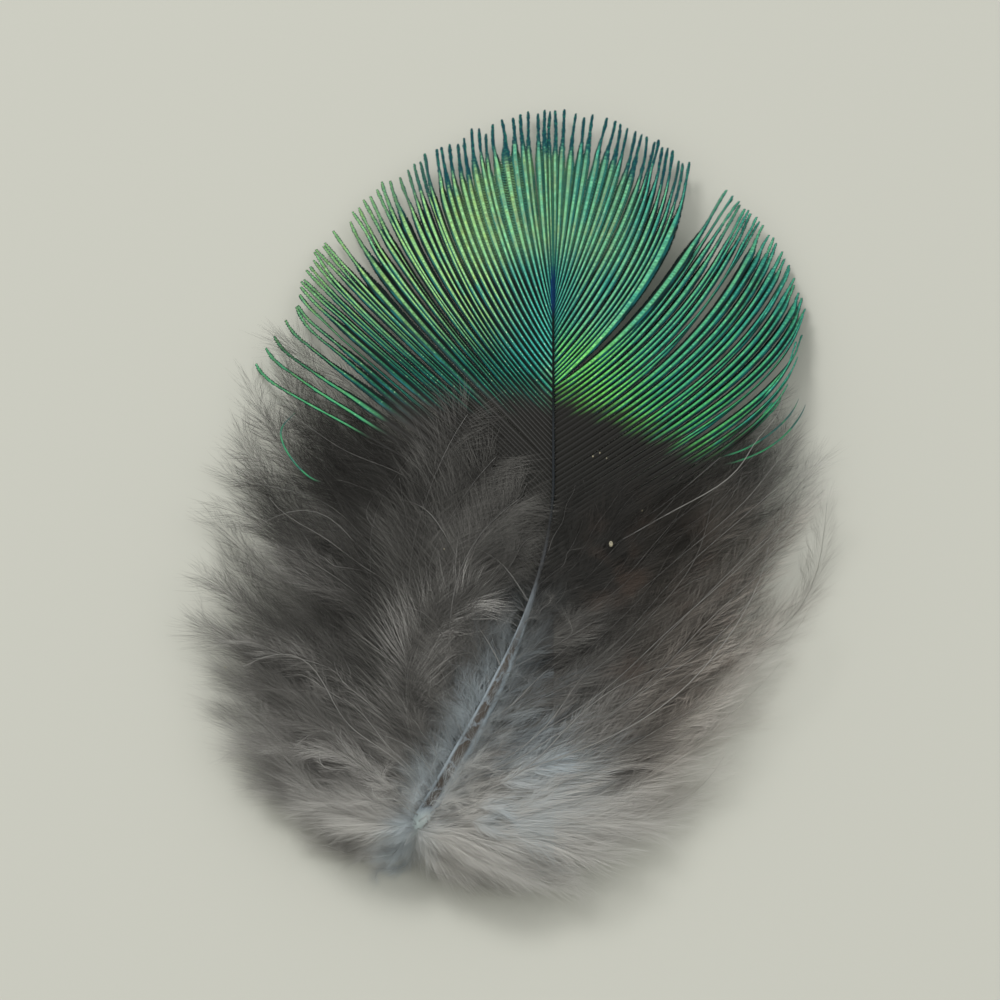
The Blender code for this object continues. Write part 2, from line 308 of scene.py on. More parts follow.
class Wire:
    # an output of a node in a material; sums written on it become Math nodes
    def __init__(self, tree, socket):
        self.tree = tree
        self.socket = socket

    def node(self, kind, settings, values, output=0):
        made = self.tree.nodes.new(kind)
        for name, setting in settings.items():
            if name == "stops":
                stops = made.color_ramp.elements
                while len(stops) < len(setting):
                    stops.new(1.0)
                for stop, (place, colour) in zip(stops, setting):
                    stop.position = place
                    stop.color = (*colour, 1.0)
            else:
                setattr(made, name, setting)
        for name, value in values.items():
            if isinstance(value, Wire):
                self.tree.links.new(value.socket, made.inputs[name])
            else:
                made.inputs[name].default_value = value
        return Wire(self.tree, made.outputs[output])

    def math(self, operation, *others):
        return self.node("ShaderNodeMath", {"operation": operation}, dict(enumerate((self, *others))))

    def __add__(self, other):
        return self.math("ADD", other)

    def __sub__(self, other):
        return self.math("SUBTRACT", other)

    def __rsub__(self, other):
        return self.node("ShaderNodeMath", {"operation": "SUBTRACT"}, {0: other, 1: self})

    def __mul__(self, other):
        return self.math("MULTIPLY", other)

    def __truediv__(self, other):
        return self.math("DIVIDE", other)

    def __pow__(self, other):
        return self.math("POWER", other)

    def __abs__(self):
        return self.math("ABSOLUTE")

    __radd__ = __add__
    __rmul__ = __mul__

    def rise(self, low, high):
        # 0 below low, 1 above high and a soft step between; low may be the larger
        settings = {"interpolation_type": "SMOOTHSTEP"}
        values = {"Value": self, "From Min": low, "From Max": high}
        return self.node("ShaderNodeMapRange", settings, values)

    def tint(self, colour, other):
        # colour where this is 0, other where it is 1
        settings = {"data_type": "RGBA"}
        return self.node("ShaderNodeMix", settings, {0: self, 6: asColour(colour), 7: asColour(other)}, 2)

    def shade(self, strength):
        # this colour made lighter or darker by a number
        return self.node("ShaderNodeVectorMath", {"operation": "SCALE"}, {0: self, "Scale": strength})

    def times(self, other):
        # this colour multiplied by another
        return self.node("ShaderNodeVectorMath", {"operation": "MULTIPLY"}, {0: self, 1: other})

    def noise(self, scale, detail=2.0, stretch=(1.0, 1.0, 1.0)):
        placed = self.node("ShaderNodeMapping", {}, {"Vector": self, "Scale": stretch})
        values = {"Vector": placed, "Scale": scale, "Detail": detail}
        return self.node("ShaderNodeTexNoise", {}, values)

    def luck(self):
        # a random number from 0 to 1 for every whole number
        return self.node("ShaderNodeTexWhiteNoise", {"noise_dimensions": "1D"}, {"W": self})

    def swing(self, size):
        # a number that ran from 0 to 1 now runs over size, half of it below 0
        return (self - 0.5) * size

    def bump(self, strength, height):
        # surface relief with this as its height map
        values = {"Strength": strength, "Distance": height * mm, "Height": self}
        return self.node("ShaderNodeBump", {}, values)


def asColour(colour):
    return colour if isinstance(colour, Wire) else (*colour, 1.0)


def inPlace(wires, steps):
    # 1 inside a place and 0 outside: soft steps multiplied, each (which wire, low, high)
    first, *others = [wires[name].rise(low, high) for name, low, high in steps]
    for other in others:
        first = first * other
    return first


def levels(wires, rows):
    # amounts of several places added up; a row is an amount and its place's soft steps
    first, *others = [inPlace(wires, steps) * amount for amount, *steps in rows]
    for other in others:
        first = first + other
    return first


def newMaterial(name, constants):
    # a material with its one shader, the wire of places in mm, and the wire of its map
    material = bpy.data.materials.new(name)
    material.use_nodes = True
    tree = material.node_tree
    shader = tree.nodes["Principled BSDF"]
    for socket, value in constants.items():
        shader.inputs[socket].default_value = value
    start = Wire(tree, shader.inputs["Base Color"])
    place = start.node("ShaderNodeTexCoord", {}, {}, "Object").shade(1 / mm)
    place = place.node("ShaderNodeVectorMath", {"operation": "ADD"}, {0: place, 1: (*frameShift, 0.0)})
    onMap = start.node("ShaderNodeUVMap", {"uv_map": bakeMap}, {})
    return material, shader, place, onMap


def parted(wire):
    return [wire.node("ShaderNodeSeparateXYZ", {}, {0: wire}, axis) for axis in range(3)]


def feed(shader, socket, wire):
    wire.tree.links.new(wire.socket, shader.inputs[socket])


# the shaft: a pale hollow quill with a dark pith and a painted sheen down its sides, dark and thin under
# the fan
shaft = {
    "stations": 200,
    "sides": 16,
    "places": (-26.3, -25.9, -25.0, -20.0, -14.0, -9.0, -5.0, 0.0, 8.0, 18.0, 24.0, 31.0),
    "radii": (0.12, 0.34, 0.58, 0.70, 0.50, 0.24, 0.14, 0.11, 0.09, 0.08, 0.05, 0.03),
    "flat": 0.9,
    "lift": 0.22,  # how far the fan's part of it stands above the vanes
    "lifts": (-10.0, 4.0),  # y where that begins and is full
    "pale": (0.27, 0.32, 0.36),
    # a lighter colour down the quill's sides: painted sheen
    "edge": (0.42, 0.49, 0.54),
    "edges": (0.06, 0.15),  # turns from its top where the painted sheen begins and where it is full
    # colours that take over along it: y where one begins, y where it is full, and the colour
    "along": (
        (-12.0, -5.0, (0.085, 0.09, 0.098)),  # grey
        (-7.0, 1.0, (0.02, 0.024, 0.028)),  # near-black
        (7.0, 11.0, (0.002, 0.006, 0.006)),  # a dark groove between the vanes
        (17.5, 19.5, (0.00, 0.026, 0.085)),  # the fan's blue spot
        (21.5, 24.0, (0.02, 0.15, 0.11)),  # teal
        (-24.4, -25.4, (0.56, 0.65, 0.64)),  # the quill's end
    ),
    "pith": (0.08, 0.068, 0.058),
    "pithFrom": -24.2,
    "pithTo": -8.0,
    "pithStarts": 0.4,  # mm over which it begins
    "pithFades": 4.0,
    "pithWidth": 0.105,
    "cellLength": 1.7,  # mm from one bridge across the pith to the next
    "cellWander": 3.2,
    "bridge": (0.02, 0.16),  # half its width, in cells
    "grain": (1.6, 3.0, (1.0, 0.6, 1.0)),  # noise: scale, detail, stretch
    "fine": (7.0, 2.0, (1.0, 0.25, 1.0)),
    "relief": 0.02,
}


def makeShaftMaterial():
    material, shader, place, onMap = newMaterial("quill", {"Roughness": 0.50, "Specular IOR Level": 0.08})
    y = parted(place)[1]
    grain = place.noise(*shaft["grain"])
    fine = place.noise(*shaft["fine"])
    off = abs(parted(onMap)[0] - 0.25) + fine.swing(0.05)
    # pale on top, with painted sheen making the sides lighter
    colour = off.rise(*shaft["edges"]).tint(shaft["pale"], shaft["edge"])
    low, high, width = shaft["pithFrom"], shaft["pithTo"], shaft["pithWidth"]
    reach = y.rise(low - shaft["pithStarts"], low) * y.rise(high, high - shaft["pithFades"])
    cell = (y + grain.swing(shaft["cellWander"])) / shaft["cellLength"]
    bridge = (abs(cell.math("FRACT") - 0.5) + fine.swing(0.3)).rise(*shaft["bridge"])
    pith = off.rise(width * 1.2, width * 0.5) * reach * (bridge * 0.6 + 0.4)
    colour = (pith * (0.7 + fine * 0.6)).tint(colour, shaft["pith"])
    for low, high, paint in shaft["along"]:
        colour = y.rise(low, high).tint(colour, paint)
    feed(shader, "Base Color", colour)
    feed(shader, "Normal", fine.bump(0.2, shaft["relief"]))
    return material


def makeShaft():
    y = np.linspace(shaft["places"][0], shaft["places"][-1], shaft["stations"])
    radius = np.interp(y, shaft["places"], shaft["radii"])
    lift = shaft["lift"] * np.interp(y, shaft["lifts"], (0, 1))
    centre = np.stack((shaftX(y), y, shaftZ(y) + lift), axis=1)
    points = tubesAlong(centre, radius, shaft["sides"], flat=shaft["flat"])
    size = points.shape[:2]
    u = np.linspace(mapLow, mapHigh, size[1])
    v = np.linspace(mapLow, mapHigh, size[0])[:, None]
    makePiece("shaft", [(points, gridFaces(1, *size), mapSpots(u, v, size))], makeShaftMaterial())


# the fan: two vanes of barbs, each a bright ridge with a dark web of barbules on either side
vane = {
    "barbs": 52,  # strips on the map, one for each barb of the fuller vane
    "stations": 232,
    "web": (-1.0, -0.42, 0.0, 0.42, 1.0),  # across a barb, in shares of its half width
    "height": (-0.04, 0.05, 0.10, 0.06, 0.04),
    "fullHeight": 0.2,  # half width from which a barb has that height
    "fill": 0.60,  # half width over the room a barb has
    "besideSlit": 2.2,  # most room of a barb beside a slit, over the room on its other side
    "narrowest": 0.08,
    "widest": 0.66,
    "lowest": 0.17,  # the same for the lowest barb
    "lowBarbs": (0, 7),  # the lowest, and the first of full width
    "thread": 0.155,  # half width of a free end
    "threadKnots": (0.5, 0.10),  # mm from knot to knot, and size
    "taperAt": (0.0, 0.2, 0.8),  # mm from the tip
    "taper": (0.40, 0.80, 1.0),
    "freeVaries": 0.2,
    "freeKnots": (1.0, 0.04),
    "freeSteps": (0.45, 1.5),
    "toothDepth": 0.45,
    "toothVaries": 0.6,
    "closedTeeth": 0.20,  # of that depth, where the barbs are closed
    "slant": 0.60,
    "longest": 40.0,
    "sway": 0.10,
    "swayAlong": 0.18,
    "swayTurn": 1.2,  # degrees
    "uneven": 0.03,
    "curl": 0.20,
    "curlLength": 9.0,
    "hook": 0.45,  # how far the last bit of the left vane's lowest barbs turns up
    "hookLength": 3.0,
    "hookBarbs": (4, 9),
    "wander": 0.05,
    "wanderKnots": 3.5,
    "floor": 0.04,
}


def roomBetween(flat, ways):
    # the room each barb has, which beside a slit is what its other side gives it
    steps = np.diff(flat, axis=0)
    gap = np.linalg.norm(steps, axis=2)
    room = np.minimum(gap, abs(np.sum(steps * (ways[1:] + ways[:-1]) / 2, axis=2)))
    most = np.minimum(room[1:], room[:-1]) * vane["besideSlit"]
    middle = np.minimum((room[1:] + room[:-1]) / 2, most)
    return np.concatenate((room[:1], middle, room[-1:]))


def makeVane(name, lines, side, seed, material):
    rng = np.random.default_rng(seed)
    count = int(lines[-1, 0]) + 1
    order = np.arange(count)
    barbs = linesBetween(lines[:, 1:], lines[:, 0], order)
    for column, size in ((3, vane["sway"]), (4, vane["swayAlong"]), (5, vane["swayTurn"])):
        barbs[:, column] += rng.normal(0, size, count)
    shares = np.linspace(0, 1, vane["stations"])
    flat, runs = pathsFrom(barbs, side, shares)
    ways = squareTo(runs)
    room = roomBetween(flat, ways)
    length = np.cumsum(np.linalg.norm(np.diff(flat, axis=1), axis=2), axis=1)
    length = np.concatenate((np.zeros((count, 1)), length), axis=1)
    toTip = length[:, -1:] - length

    # closed, a barb fills its room; its end is a free thread
    free = barbs[:, 7] * rng.uniform(1 - vane["freeVaries"], 1 + vane["freeVaries"], count)
    loose = toTip / free[:, None] + knotted(rng, count, length, *vane["freeKnots"])
    loose = 1 - softStep(loose, *vane["freeSteps"])
    widest = np.interp(order, vane["lowBarbs"], (vane["lowest"], vane["widest"]))[:, None]
    closed = np.clip(room * vane["fill"], vane["narrowest"], widest)
    thread = vane["thread"] * (1 + knotted(rng, count, length, *vane["threadKnots"]))
    half = closed * (1 - loose) + np.minimum(thread, closed) * loose
    half = half * np.interp(toTip, vane["taperAt"], vane["taper"])

    # free ends wander a little, so that they meet and part, and the left vane's lowest turn up
    aside = knotted(rng, count, length, vane["wanderKnots"], vane["wander"]) * loose
    if side < 0:
        hook = vane["hook"] * np.interp(order, vane["hookBarbs"], (1, 0))[:, None]
        aside = aside + hook * np.clip(1 - toTip / vane["hookLength"], 0, 1) ** 2
    flat = flat + ways * aside[..., None]
    lift = rng.normal(0, vane["uneven"], count)[:, None] * shares
    curl = np.clip(1 - toTip / vane["curlLength"], 0, 1) ** 2
    lift = lift + rng.normal(0, vane["curl"], count)[:, None] * curl
    sheet = vaneZ(flat[..., 0], flat[..., 1]) + lift

    # across a barb: its ridge, and a web whose edges are toothed and slant towards the tip
    offsets = np.array(vane["web"])
    points = np.zeros((count, vane["stations"], len(offsets), 3))
    teeth = (np.arange(vane["stations"]) % 2)[None, :]
    deep = vane["toothDepth"] * teeth * (vane["closedTeeth"] + (1 - vane["closedTeeth"]) * loose)
    varies = (1 - vane["toothVaries"], 1 + vane["toothVaries"])
    for k, offset in enumerate(offsets):
        reach = half * offset
        if abs(offset) == 1.0:
            reach = reach * (1 - deep * rng.uniform(*varies, half.shape))
        slide = abs(reach) * vane["slant"] * (abs(offset) == 1.0)
        points[..., k, :2] = flat + ways * reach[..., None] + runs * slide[..., None]
        points[..., k, 2] = sheet + vane["height"][k] * np.minimum(1, half / vane["fullHeight"])
    points[..., 2] = np.maximum(vane["floor"], points[..., 2])
    u = (order[:, None, None] + 0.5 + stripHalf * offsets) / vane["barbs"]
    v = (mapHigh - mapSpan * toTip / vane["longest"])[..., None]
    faces = gridFaces(count, vane["stations"], len(offsets))
    makePiece(name, [(points, faces, mapSpots(u, v, points.shape[:3]))], material)


fan = {
    "focusY": 12.0,
    # round the fan from its lower left over its top (0.5) to its lower right
    "wheel": (
        (0.16, (0.07, 0.36, 0.15)),
        (0.25, (0.05, 0.27, 0.14)),
        (0.30, (0.11, 0.38, 0.17)),
        (0.36, (0.27, 0.58, 0.22)),
        (0.43, (0.33, 0.66, 0.27)),
        (0.50, (0.21, 0.60, 0.33)),
        (0.58, (0.17, 0.58, 0.32)),
        (0.68, (0.095, 0.52, 0.27)),
        (0.78, (0.09, 0.50, 0.15)),
        (0.88, (0.17, 0.60, 0.11)),
    ),
    "web": (0.0015, 0.008, 0.007),
    "band": (0.006, 0.11, 0.115),
    "ends": (0.004, 0.068, 0.088),
    "bead": (0.03, 0.24, 0.17),
    "gold": (0.42, 0.60, 0.15),
    "fresh": (0.11, 0.54, 0.22),
    "teal": (0.025, 0.34, 0.29),
    "dusk": (0.01, 0.11, 0.06),
    "lime": (0.20, 0.74, 0.13),
    "blue": (0.00, 0.028, 0.15),
    "dark": (0.023, 0.0225, 0.0205),
    "rib": (0.034, 0.0345, 0.034),
    "tan": (0.36, 0.36, 0.16),
    "glint": (0.55, 0.85, 0.50),
    "patches": (0.16, 2.0),  # noise over the fan, and then along its barbs: scale, detail, stretch
    "streaks": (16.0, 3.0, (5.0, 1.0, 1.0)),
    "stretches": (36.0, 2.0, (2.5, 1.0, 1.0)),
    "beads": (210.0, 2.0, (0.30, 1.0, 1.0)),
    "herringPitch": 0.30,
    "herringSlant": 0.60,
    "endsOver": (5.4, 3.2),  # mm from the tip
    "relief": 0.03,
    "spotY": 20.8,
    "topX": -0.5,
    "slope": 1.09,
    # places, each bounded by soft steps: which wire, where it begins and where it is full
    "lowBarbs": (("slope", -2.5, -4.5), ("x", -10.0, -13.0)),
    "tealRim": (("out", 12.0, 20.0), ("x", -8.0, 2.0)),
    "duskLeft": (("x", 1.0, -1.5), ("x", -19.0, -12.0), ("y", 22.0, 13.0)),
    "besideSpot": (("x", -5.0, -1.5), ("x", 3.0, 0.5), ("y", 11.0, 15.0), ("y", 27.0, 22.0)),
    "limeRight": (("x", -0.2, 0.6), ("x", 9.0, 2.5), ("y", 18.5, 14.0)),
    "top": (("y", 21.0, 27.0), ("offTop", 8.5, 4.0), ("toTip", 3.6, 5.6)),
    "thinLeft": (("x", 0.0, -2.5), ("y", 28.0, 20.0)),
    # how many mm further down, or less far, the green reaches in a place
    "footShifts": (
        (-0.1, ("x", -0.4, 0.4)),
        (-3.3, ("x", 10.6, 15.0)),
        (1.8, ("x", -11.0, -15.0)),
    ),
    "footSlope": 0.40,  # and further down for every mm to the right, as far as the next
    "footSlopeTo": 10.6,
    "foot": (13.0, 8.8),
}


def makeFanMaterial():
    constants = {"Roughness": 0.40, "Specular IOR Level": 0.10, "Metallic": 0.30}
    material, shader, place, onMap = newMaterial("fan", constants)
    x, y, _ = parted(place)
    u, v, _ = parted(onMap)
    wide = u * vane["barbs"]
    across = (wide.math("FRACT") - 0.5) / stripHalf
    toTip = (mapHigh - v) * (vane["longest"] / mapSpan)
    side = x.math("SIGN")
    luck = (wide.math("FLOOR") + side * otherSide).luck()
    patches = place.noise(*fan["patches"])
    streaks = onMap.noise(*fan["streaks"])
    beads = onMap.noise(*fan["beads"])
    fromX = x * x
    out = (fromX + (y - fan["focusY"]) ** 2) ** 0.5
    wires = {"x": x, "y": y, "toTip": toTip, "out": out}
    wires |= {"slope": x * fan["slope"] + y, "offTop": abs(x - fan["topX"])}
    lowest = inPlace(wires, fan["lowBarbs"])
    # the hue runs round the fan
    turn = x.math("ARCTAN2", y - fan["focusY"]) / (2 * math.pi) + 0.5
    turn = turn + patches.swing(0.12) + luck.swing(0.02)
    hue = turn.node("ShaderNodeValToRGB", {"stops": fan["wheel"]}, {0: turn})
    teal = streaks.swing(2.0) + luck.swing(0.5) + inPlace(wires, fan["tealRim"]) * 0.4
    bright = (teal.rise(0.10, 0.60) * (0.3 + x.rise(-16.0, -6.0) * 0.4)).tint(hue, fan["teal"])
    # yellower stretches of a line on the left, tealer ones on the right
    short = onMap.noise(*fan["stretches"]).swing(2.2)
    bright = (short * x.rise(4.0, -4.0)).tint(bright, fan["gold"])
    bright = (short * (-0.2 - x.rise(-12.0, 2.0) * 0.7)).tint(bright, fan["teal"])
    # dim on the left beside the shaft, lime on the right of it
    bright = inPlace(wires, fan["duskLeft"]).tint(bright, fan["dusk"])
    bright = (inPlace(wires, fan["besideSpot"]) * 0.75).tint(bright, fan["teal"])
    lime = inPlace(wires, fan["limeRight"])
    bright = (lime * 0.8).tint(bright, fan["lime"])
    bright = bright.shade(0.62 + beads.rise(0.34, 0.66) * 0.62 + luck * 0.16)
    bright = (lowest * 0.5).tint(bright, fan["fresh"])
    bright = (beads.rise(0.62, 0.72) * (0.5 + lime * 0.4)).tint(bright, fan["glint"])
    # fine slanting barbules, clearest at the top where the web is as light as the ridges
    pitch = (toTip - abs(across) * fan["herringSlant"]) / fan["herringPitch"]
    herring = abs(pitch.math("FRACT") - 0.5) * 2
    top = inPlace(wires, fan["top"])
    # across a barb: a bright line, a darker band on its lower side and a near-black web
    single = toTip.rise(5.0, 2.0).math("MAXIMUM", lowest * 0.5)
    thin = inPlace(wires, fan["thinLeft"]) * (1 - lowest) * 0.10
    line = (abs(across + 0.06) + beads.swing(0.30) - single * 0.30 + thin).rise(0.46, 0.18)
    band = abs(across * side - 0.50).rise(0.34, 0.10) * (0.25 + streaks.rise(0.42, 0.60) * 0.75)
    colour = band.tint(fan["web"], fan["band"])
    colour = (top * (0.02 + herring * 0.40)).tint(colour, bright)
    colour = line.tint(colour, bright)
    tan = top * line * (streaks + herring.swing(0.25)).rise(0.46, 0.66)
    colour = (tan * 0.6).tint(colour, fan["tan"])
    # the last few millimetres are dark, separate and beaded
    ends = (toTip + luck.swing(2.0) + beads.swing(2.5)).rise(*fan["endsOver"])
    ends = ends * (1 - abs(x).rise(8.0, 15.0) * 0.75)
    tips = (beads + abs(across) * 0.12).rise(0.58, 0.70).tint(fan["ends"], fan["bead"])
    colour = ends.tint(colour, tips)
    # a narrow blue spot on the shaft with a teal halo
    near = (fromX * 36.0 + (y - fan["spotY"]) ** 2 * 0.14) ** 0.5 + beads.swing(0.8)
    colour = (near.rise(3.6, 1.2) * 0.5).tint(colour, fan["band"])
    colour = (near.rise(1.3, 0.8) * 0.9).tint(colour, fan["blue"])
    # the green gives way to brown-black towards the down, lower on the right
    right = x.math("MAXIMUM", 0.0).math("MINIMUM", fan["footSlopeTo"])
    foot = y + right * fan["footSlope"] + levels(wires, fan["footShifts"])
    foot = foot + luck.swing(1.2) + streaks.swing(3.0)
    rib = (abs(across).rise(0.34, 0.14) * (0.35 + herring * 0.5)).tint(fan["dark"], fan["rib"])
    colour = foot.rise(*fan["foot"]).tint(colour, rib)
    feed(shader, "Base Color", colour)
    feed(shader, "Normal", beads.bump(0.3, fan["relief"]))
    return material


# The down: long soft barbs, each with two rows of fine loose barbules. A piece may have its own values
down = {
    "strips": 56,  # on the map, one for each barb of a full piece
    "barbs": 56,
    "stations": 24,
    "barbules": 580,  # a row
    "sparser": 1.0,  # towards a barb's tip; 0 spaces them evenly
    "layers": 7,
    "arch": (1.4, 1.4),  # how high the top layer rises at the first and last of a piece's barbs
    "depth": 3.8,  # how far below it the lowest layer stays
    "tips": (0.3, 3.0),  # height of the tips, lowest and top layer
    "onFan": False,  # or else that height is measured from the fan
    "lag": 0.0,  # how much further up the edge a barb may end than it starts
    "shortest": 0.55,
    "golden": 0.618,  # spreads long and short barbs evenly
    "offPlace": 0.05,  # of the way from one given row to the next
    "turnOut": 12.0,
    "turnIn": 20.0,
    "sway": 1.3,
    "waves": (1.0, 2.3, 1.5),  # along a stem: two sideways and one in height
    "secondWave": 0.4,  # of the sway
    "heightWave": 0.35,
    "stemRadius": 0.045,
    "stemSides": 3,
    "stemTaper": 0.75,
    "stemFloor": 0.11,
    "stemOnMap": 0.03,  # in strips
    "length": 4.0,
    "longVaries": 0.20,
    "longClump": 0.06,
    "ends": (0.50, 0.90, 1.0, 0.85, 0.60),  # of that length, at these places along a barb
    "endsAt": (0.03, 0.15, 0.5, 0.85, 1.0),
    "onMap": (0.05, 0.26, 0.26, 0.47),  # in strips: its root, the sides of its bend, and its tip
    "width": 0.020,
    "thinning": (1.0, 0.75, 0.30),  # of that width, at a barb's root, middle and tip
    "fullReach": 16.0,  # barbs with a shorter reach than this have shorter and thinner barbules
    "leastFull": 0.4,
    "spread": 27.0,
    "spreadVaries": 12.0,
    "lean": 5.0,
    "straight": 0.5,  # how much of its spread a barbule keeps beyond its bend
    "rise": 9.0,
    "scatter": 20.0,
    "hang": 8.0,  # degrees the barbules point down, so that the stem shows
    "clump": 2.4,  # mm of stem over which the barbules lean together
    "leanClump": 0.7,  # of that
    "driftClump": 0.5,  # the same for how they drift
    "drift": 0.12,
    "tipVaries": 0.15,
    "sag": 0.08,
    "floor": 0.03,
    "ceiling": 9.3,  # no hair's end stands higher
}
plumes = {
    "depth": 0.0, "shortest": 1.0, "turnOut": 0.0, "turnIn": 0.0, "sway": 1.4, "barbules": 420,
    "sparser": 0.5, "stemRadius": 0.070, "length": 3.2, "width": 0.023, "thinning": (1.0, 0.9, 0.6),
    "scatter": 9.0, "hang": 10.0,
}
fluff = {
    "keys": (0.0, 3.0), "arch": (0.7, 0.5), "depth": 0.8, "tips": (6.0, 7.6), "barbs": 26,
    "barbules": 160, "shortest": 0.25, "turnOut": 22.0, "turnIn": 34.0, "fullReach": 7.0,
    "length": 3.0, "ends": (1.0, 1.0, 1.0, 0.85, 0.60), "endsAt": (0.0, 0.15, 0.5, 0.85, 1.0),
}
curled = plumes | {
    "keys": (0.2, 7.0), "arch": (2.0, 1.4), "tips": (3.2, 4.4), "shortest": 0.45, "turnOut": 12.0,
    "turnIn": 44.0, "sway": 2.6, "barbules": 90, "length": 1.7,
}
downPieces = {
    "left_down_base": {"lines": leftDownLines, "side": -1, "keys": (0.0, 3.5), "lag": 1.0},
    "left_down_upper": {
        "lines": leftDownLines, "side": -1, "keys": (3.4, 7.0), "arch": (1.4, 0.2), "lag": 0.6,
        "shortest": 0.65, "thinning": (1.0, 0.85, 0.55),
    },
    "right_down_base": {"lines": rightDownLines, "side": 1, "keys": (0.0, 3.5), "lag": 0.7},
    "right_down_upper": {
        "lines": rightDownLines, "side": 1, "keys": (3.4, 7.0), "arch": (1.2, -0.8), "lag": 1.2,
        "shortest": 0.62,
    },
    "crest": {
        "lines": crestLines, "side": -1, "keys": (0.0, 5.0), "arch": (0.8, 0.4), "depth": 0.8,
        "tips": (0.1, 0.5), "onFan": True, "barbs": 26, "shortest": 0.80, "sparser": 0.5,
        "length": 4.8, "spread": 42.0, "straight": 0.8, "scatter": 12.0,
    },
    "left_foot": {
        "lines": leftFootLines, "side": -1, "keys": (0.0, 3.0), "arch": (0.3, 0.3), "depth": 0.5,
        "tips": (0.0, 0.3), "onFan": True, "barbs": 12, "shortest": 0.75, "scatter": 12.0,
    },
    "right_foot": {
        "lines": rightFootLines, "side": 1, "keys": (0.0, 4.0), "arch": (0.8, 0.3), "depth": 0.6,
        "tips": (0.1, 0.4), "onFan": True, "barbs": 18, "shortest": 0.80, "scatter": 12.0,
    },
    "left_fluff": {"lines": leftFluffLines, "side": -1} | fluff,
    "right_fluff": {"lines": rightFluffLines, "side": 1} | fluff,
    "crest_plumes": plumes | {
        "lines": crestPlumeLines, "side": -1, "keys": (0.0, 4.0), "arch": (0.7, 0.5),
        "tips": (0.4, 0.6), "onFan": True, "barbs": 5, "sway": 0.6, "stemRadius": 0.10,
        "barbules": 560, "sparser": 0.0, "length": 5.4, "spread": 46.0, "straight": 0.9,
        "thinning": (0.8, 1.0, 0.9),
    },
    "left_plumes": plumes | {
        "lines": leftPlumeLines, "side": -1, "keys": (0.0, 7.0), "arch": (1.7, 1.2),
        "tips": (2.6, 3.4), "barbs": 12, "shortest": 0.7, "turnOut": 6.0, "turnIn": 24.0,
    },
    "right_plumes": plumes | {
        "lines": rightPlumeLines, "side": 1, "keys": (0.0, 7.0), "arch": (1.7, 1.0),
        "tips": (2.6, 3.4), "barbs": 12, "sway": 0.7, "turnIn": 8.0,
    },
    "pale_tufts": plumes | {
        "lines": paleTuftLines, "side": 1, "keys": (0.0, 3.0), "arch": (1.5, 1.5),
        "tips": (3.4, 4.4), "barbs": 4, "fullReach": 8.0, "endsAt": (0.45, 0.6, 0.8, 0.9, 1.0),
    },
    "left_curled_plumes": curled | {"lines": leftPlumeLines, "side": -1, "barbs": 16},
    "right_curled_plumes": curled | {"lines": rightPlumeLines, "side": 1, "barbs": 9, "sway": 1.2},
}


def plantBarbs(rng, part):
    # sets out a piece's barbs, and gives a function that finds points on their stems
    lines, side, keys, tips, count = (part[key] for key in ("lines", "side", "keys", "tips", "barbs"))
    at = np.linspace(*keys, count) + rng.uniform(-part["offPlace"], part["offPlace"], count)
    rows = np.arange(len(lines))
    barbs = linesBetween(lines, rows, np.clip(at, 0, rows[-1]))
    layer = rng.permutation(count) % part["layers"] / (part["layers"] - 1)
    lag = part["lag"] * layer * rng.uniform(0, 1, count)
    barbs[:, 3:] = linesBetween(lines, rows, np.clip(at + lag, 0, rows[-1]))[:, 3:]
    share = np.arange(count) * part["golden"] % 1.0
    share = part["shortest"] + (1 - part["shortest"]) * share
    start = np.stack((shaftX(barbs[:, 0]), barbs[:, 0]), axis=1)
    barbs[:, 3:5] = start + (barbs[:, 3:5] - start) * share[:, None]
    barbs[:, 1] += rng.uniform(-1, 1, count) * part["turnOut"]
    barbs[:, 5] += rng.uniform(-1, 1, count) * part["turnIn"]
    arch = np.interp(at, keys, part["arch"]) - (1 - layer) * part["depth"]
    tipZ = tips[0] + (tips[1] - tips[0]) * layer
    if part["onFan"]:
        tipZ = tipZ + vaneZ(barbs[:, 3], barbs[:, 4])
    waves = rng.uniform(-1, 1, (3, count, 1)) * part["sway"]

    def stemsAt(shares):
        # shares is one row for each barb
        flat, runs = pathsFrom(barbs, side, shares)
        first, second, third = (np.sin(2 * math.pi * turns * shares) for turns in part["waves"])
        bend = waves[0] * first + waves[1] * second * part["secondWave"]
        flat = flat + squareTo(runs) * (bend * shares)[..., None]
        z = shaftZ(barbs[:, :1]) * (1 - shares) + tipZ[:, None] * shares
        z = z + arch[:, None] * np.sin(math.pi * shares) + waves[2] * third * part["heightWave"]
        return np.concatenate((flat, np.maximum(part["stemFloor"], z)[..., None]), axis=-1)

    return stemsAt


